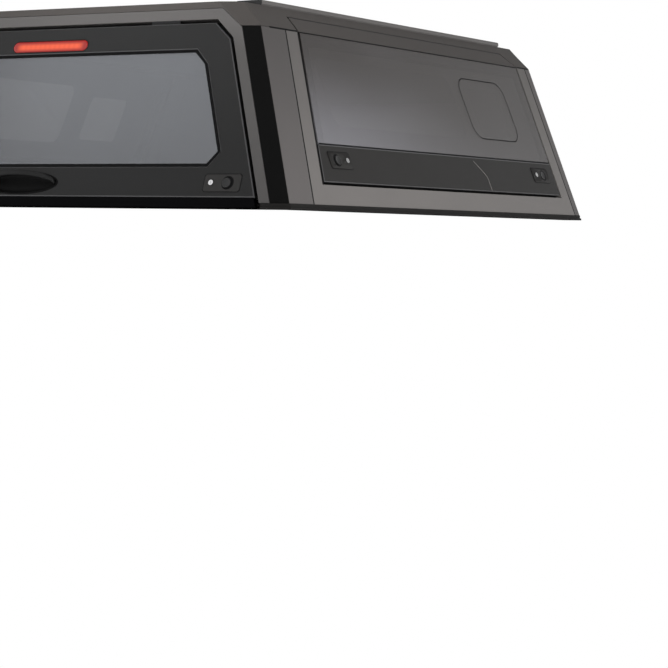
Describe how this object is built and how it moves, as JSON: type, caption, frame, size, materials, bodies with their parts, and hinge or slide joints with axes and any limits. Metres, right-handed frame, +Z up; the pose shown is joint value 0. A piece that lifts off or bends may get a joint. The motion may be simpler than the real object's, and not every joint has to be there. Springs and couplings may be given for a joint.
{
  "type": "pickup truck canopy",
  "caption": "Hard-shell canopy for a pickup truck's bed, with a lift-up rear hatch and two lift-up side doors under a flat roof with rails.",
  "frame": {"origin": "centre of the footprint, on the underside of the seal that lies on the bed rails", "axes": "+X to the right-hand side seen from behind, +Y forward to the cab, +Z up"},
  "size_m": [1.686, 1.7404, 0.547],
  "materials": {
    "body_paint": "satin",
    "hatch_paint": "satin",
    "door_panel": "satin",
    "inner_frame": "satin",
    "hatch_glass": "gloss",
    "door_glass": "gloss",
    "corner_rubber": "satin",
    "rail_seal": "matte",
    "glass_seal": "matte",
    "trim_plastic": "satin",
    "button_plastic": "satin",
    "key_metal": "polished",
    "hinge_metal": "satin",
    "brake_lens": "gloss"
  },
  "bodies": {
    "canopy": {"base_seal": "rail_seal", "corner_strips": "corner_rubber", "door_headers": "inner_frame", "front_corner_trims": "body_paint", "front_panel": "body_paint", "front_window_glass": "hatch_glass", "front_window_seal": "glass_seal", "hinges": "hinge_metal", "opening_seals": "glass_seal", "rail_end_caps": "trim_plastic", "rear_corner_posts": "body_paint", "rear_frame": "body_paint", "roof_panel": "body_paint", "roof_rails": "body_paint", "side_frames": "body_paint"},
    "hatch_latch_left": {"hatch_button_left": "button_plastic"},
    "hatch_latch_right": {"hatch_button_right": "button_plastic"},
    "rear_hatch": {"brake_light_housing": "trim_plastic", "brake_light_lens": "brake_lens", "hatch_frame": "hatch_paint", "hatch_glass": "hatch_glass", "hatch_glass_seal": "glass_seal", "hatch_handle": "trim_plastic", "hatch_key_barrels": "key_metal", "hatch_lock_plates": "trim_plastic", "hatch_lower_seal": "rail_seal"},
    "side_door_left": {"side_door_flange_left": "body_paint", "side_door_frame_left": "inner_frame", "side_door_glass_left": "door_glass", "side_door_panel_left": "door_panel", "side_key_barrels_left": "key_metal", "side_lock_plates_left": "trim_plastic", "side_vent_pane_left": "door_glass", "side_vent_seal_left": "glass_seal"},
    "side_door_right": {"side_door_flange_right": "body_paint", "side_door_frame_right": "inner_frame", "side_door_glass_right": "door_glass", "side_door_panel_right": "door_panel", "side_key_barrels_right": "key_metal", "side_lock_plates_right": "trim_plastic", "side_vent_pane_right": "door_glass", "side_vent_seal_right": "glass_seal"},
    "side_latch_front_left": {"side_button_front_left": "button_plastic"},
    "side_latch_front_right": {"side_button_front_right": "button_plastic"},
    "side_latch_rear_left": {"side_button_rear_left": "button_plastic"},
    "side_latch_rear_right": {"side_button_rear_right": "button_plastic"}
  },
  "joints": [
    {"name": "hatch_hinge", "type": "hinge", "parent": "canopy", "child": "rear_hatch", "pos_m": [0, -0.69731, 0.48225], "axis": [-1, 0, 0], "range_deg": [0, 80]},
    {"name": "side_door_right_hinge", "type": "hinge", "parent": "canopy", "child": "side_door_right", "pos_m": [0.59887, 0, 0.50637], "axis": [0, -1, 0], "range_deg": [0, 75]},
    {"name": "side_door_left_hinge", "type": "hinge", "parent": "canopy", "child": "side_door_left", "pos_m": [-0.59887, 0, 0.50637], "axis": [0, 1, 0], "range_deg": [0, 75]},
    {"name": "hatch_latch_left_push", "type": "slide", "parent": "rear_hatch", "child": "hatch_latch_left", "axis": [0, 0.9426, -0.3338], "range_m": [0, 0.004], "stiffness_N_per_m": 600},
    {"name": "hatch_latch_right_push", "type": "slide", "parent": "rear_hatch", "child": "hatch_latch_right", "axis": [0, 0.9426, -0.3338], "range_m": [0, 0.004], "stiffness_N_per_m": 600},
    {"name": "side_latch_front_left_push", "type": "slide", "parent": "side_door_left", "child": "side_latch_front_left", "axis": [0.9205, 0, -0.3907], "range_m": [0, 0.004], "stiffness_N_per_m": 600},
    {"name": "side_latch_front_right_push", "type": "slide", "parent": "side_door_right", "child": "side_latch_front_right", "axis": [-0.9205, 0, -0.3907], "range_m": [0, 0.004], "stiffness_N_per_m": 600},
    {"name": "side_latch_rear_left_push", "type": "slide", "parent": "side_door_left", "child": "side_latch_rear_left", "axis": [0.9205, 0, -0.3907], "range_m": [0, 0.004], "stiffness_N_per_m": 600},
    {"name": "side_latch_rear_right_push", "type": "slide", "parent": "side_door_right", "child": "side_latch_rear_right", "axis": [-0.9205, 0, -0.3907], "range_m": [0, 0.004], "stiffness_N_per_m": 600}
  ]
}
